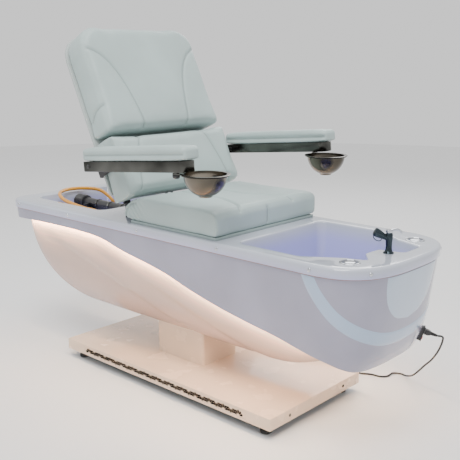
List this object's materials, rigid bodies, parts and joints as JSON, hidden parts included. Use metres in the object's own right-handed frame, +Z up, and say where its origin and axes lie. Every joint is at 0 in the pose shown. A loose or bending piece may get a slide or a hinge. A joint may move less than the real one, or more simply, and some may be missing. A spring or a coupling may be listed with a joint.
{
  "type": "pedicure spa chair",
  "caption": "White pedicure spa chair: lifting boat-shaped hull with lit foot basin, mint-grey padded seat, reclining back, swing-up armrests with steel bowls, and a low vented base.",
  "frame": {"origin": "On the floor, midway along and across the chair without its loose mains cord.", "axes": "+X towards the foot basin, +Y to the sitter's left, +Z up."},
  "size_m": [1.9, 0.9694, 1.413],
  "materials": {
    "cream_steel": "satin",
    "black_rubber": "matte",
    "black_steel": "satin",
    "stainless": "brushed",
    "white_gelcoat": "gloss",
    "white_acrylic": "gloss",
    "led_diffuser": "matte",
    "mint_leather": "satin",
    "plywood": "matte",
    "orange_coat": "satin",
    "orange_hose": "satin",
    "chrome": "polished",
    "grey_plastic": "satin",
    "black_plastic": "satin",
    "red_plastic": "gloss"
  },
  "bodies": {
    "base": {"base_tray": "cream_steel", "base_bottom_plate": "cream_steel", "vent_grille_near": "cream_steel", "vent_grille_far": "cream_steel", "foot_rear_near": "black_rubber", "foot_rear_far": "black_rubber", "foot_front_near": "black_rubber", "foot_front_far": "black_rubber", "column_outer": "cream_steel", "lift_actuator_body": "black_steel", "mains_cord": "black_rubber", "cord_coil": "black_rubber", "mains_plug": "black_plastic"},
    "column_stage": {"column_middle": "cream_steel"},
    "carriage": {"column_inner": "cream_steel", "lift_actuator_rod": "stainless", "seat_frame": "black_steel", "lower_hull": "white_gelcoat", "hull_casing": "white_gelcoat", "deck_moulding": "white_acrylic", "light_strip_near": "led_diffuser", "light_strip_far": "led_diffuser", "seat_pan": "plywood", "seat_cushion": "mint_leather", "drain_flange": "chrome", "jet_cover": "white_acrylic", "power_inlet": "black_plastic", "pivot_bracket_near": "black_steel", "pivot_bracket_far": "black_steel", "recline_motor": "black_steel", "motor_cradle": "black_steel", "water_hose": "orange_hose", "cord_connector": "black_plastic", "strain_relief": "black_rubber"},
    "backrest": {"back_frame": "black_steel", "back_board": "plywood", "back_cushion": "mint_leather", "lumbar_cushion": "mint_leather", "arm_mount_near": "black_steel", "arm_mount_far": "black_steel", "recline_lever": "black_steel"},
    "armrest_near": {"arm_bar_near": "stainless", "arm_cushion_near": "mint_leather"},
    "armrest_far": {"arm_bar_far": "stainless", "arm_cushion_far": "mint_leather"},
    "bowl_arm_near": {"bowl_holder_near": "stainless", "bowl_near": "stainless"},
    "bowl_arm_far": {"bowl_holder_far": "stainless", "bowl_far": "stainless"},
    "bowl_knob_near": {"bowl_knob_near": "black_plastic"},
    "bowl_knob_far": {"bowl_knob_far": "black_plastic"},
    "recline_rod": {"recline_rod": "orange_coat"},
    "faucet_turret": {"faucet_body": "chrome"},
    "faucet_handle": {"faucet_lever": "chrome"},
    "spray": {"spray_head": "chrome"},
    "jet_knob": {"jet_knob": "chrome"},
    "light_knob": {"light_knob": "chrome"},
    "drain_plug": {"drain_stopper": "chrome"},
    "impeller": {"jet_impeller": "grey_plastic"},
    "rocker": {"power_rocker": "red_plastic"}
  },
  "joints": [
    {"name": "lift", "type": "slide", "parent": "base", "child": "carriage", "axis": [0, 0, 1], "range_m": [0, 0.25]},
    {"name": "column_stage_slide", "type": "slide", "parent": "base", "child": "column_stage", "axis": [0, 0, 1], "range_m": [0, 0.125]},
    {"name": "recline", "type": "hinge", "parent": "carriage", "child": "backrest", "pos_m": [-0.19, 0, 0.705], "axis": [0, -1, 0], "range_deg": [0, 54]},
    {"name": "recline_rod_slide", "type": "slide", "parent": "carriage", "child": "recline_rod", "axis": [1, 0, -0.0001], "range_m": [0, 0.0768]},
    {"name": "armrest_near_lift", "type": "hinge", "parent": "backrest", "child": "armrest_near", "pos_m": [-0.18, -0.39, 0.894], "axis": [0, -1, 0], "range_deg": [0, 100]},
    {"name": "bowl_near_swing", "type": "hinge", "parent": "armrest_near", "child": "bowl_arm_near", "pos_m": [0.252, -0.39, 0.909], "axis": [0, 0, 1], "range_deg": [-60, 20]},
    {"name": "bowl_knob_near_turn", "type": "hinge", "parent": "armrest_near", "child": "bowl_knob_near", "pos_m": [0.252, -0.39, 0.898], "axis": [0, 0, 1], "continuous": true},
    {"name": "armrest_far_lift", "type": "hinge", "parent": "backrest", "child": "armrest_far", "pos_m": [-0.18, 0.39, 0.894], "axis": [0, -1, 0], "range_deg": [0, 100]},
    {"name": "bowl_far_swing", "type": "hinge", "parent": "armrest_far", "child": "bowl_arm_far", "pos_m": [0.252, 0.39, 0.909], "axis": [0, 0, 1], "range_deg": [-20, 60]},
    {"name": "bowl_knob_far_turn", "type": "hinge", "parent": "armrest_far", "child": "bowl_knob_far", "pos_m": [0.252, 0.39, 0.898], "axis": [0, 0, 1], "continuous": true},
    {"name": "faucet_swivel", "type": "hinge", "parent": "carriage", "child": "faucet_turret", "pos_m": [0.852, -0.02, 0.669], "axis": [0, 0, 1], "range_deg": [-70, 70]},
    {"name": "faucet_lever_turn", "type": "hinge", "parent": "faucet_turret", "child": "faucet_handle", "pos_m": [0.852, -0.02, 0.7375], "axis": [0, 0, 1], "range_deg": [-45, 45]},
    {"name": "spray_head_pull", "type": "slide", "parent": "faucet_turret", "child": "spray", "axis": [-0.6562, -0.5908, 0.4695], "range_m": [0, 0.12]},
    {"name": "jet_knob_turn", "type": "hinge", "parent": "carriage", "child": "jet_knob", "pos_m": [0.825, -0.203, 0.669], "axis": [0, 0, 1], "range_deg": [-135, 135]},
    {"name": "light_knob_turn", "type": "hinge", "parent": "carriage", "child": "light_knob", "pos_m": [0.825, 0.203, 0.669], "axis": [0, 0, 1], "range_deg": [-135, 135]},
    {"name": "drain_stopper_lift", "type": "slide", "parent": "carriage", "child": "drain_plug", "axis": [0, 0, 1], "range_m": [0, 0.008]},
    {"name": "jet_impeller_spin", "type": "hinge", "parent": "carriage", "child": "impeller", "pos_m": [0.56, -0.21242, 0.5323], "axis": [0, 0.9777, 0.2099], "continuous": true},
    {"name": "power_rocker_tilt", "type": "hinge", "parent": "carriage", "child": "rocker", "pos_m": [0.87239, 0.20064, 0.3239], "axis": [-0.5299, 0.848, 0], "range_deg": [-7, 7]}
  ],
  "couplings": [
    {"joint": "column_stage_slide", "follows": "lift", "ratio": 0.5},
    {"joint": "recline_rod_slide", "follows": "recline", "m_per_rad": 0.08093}
  ]
}
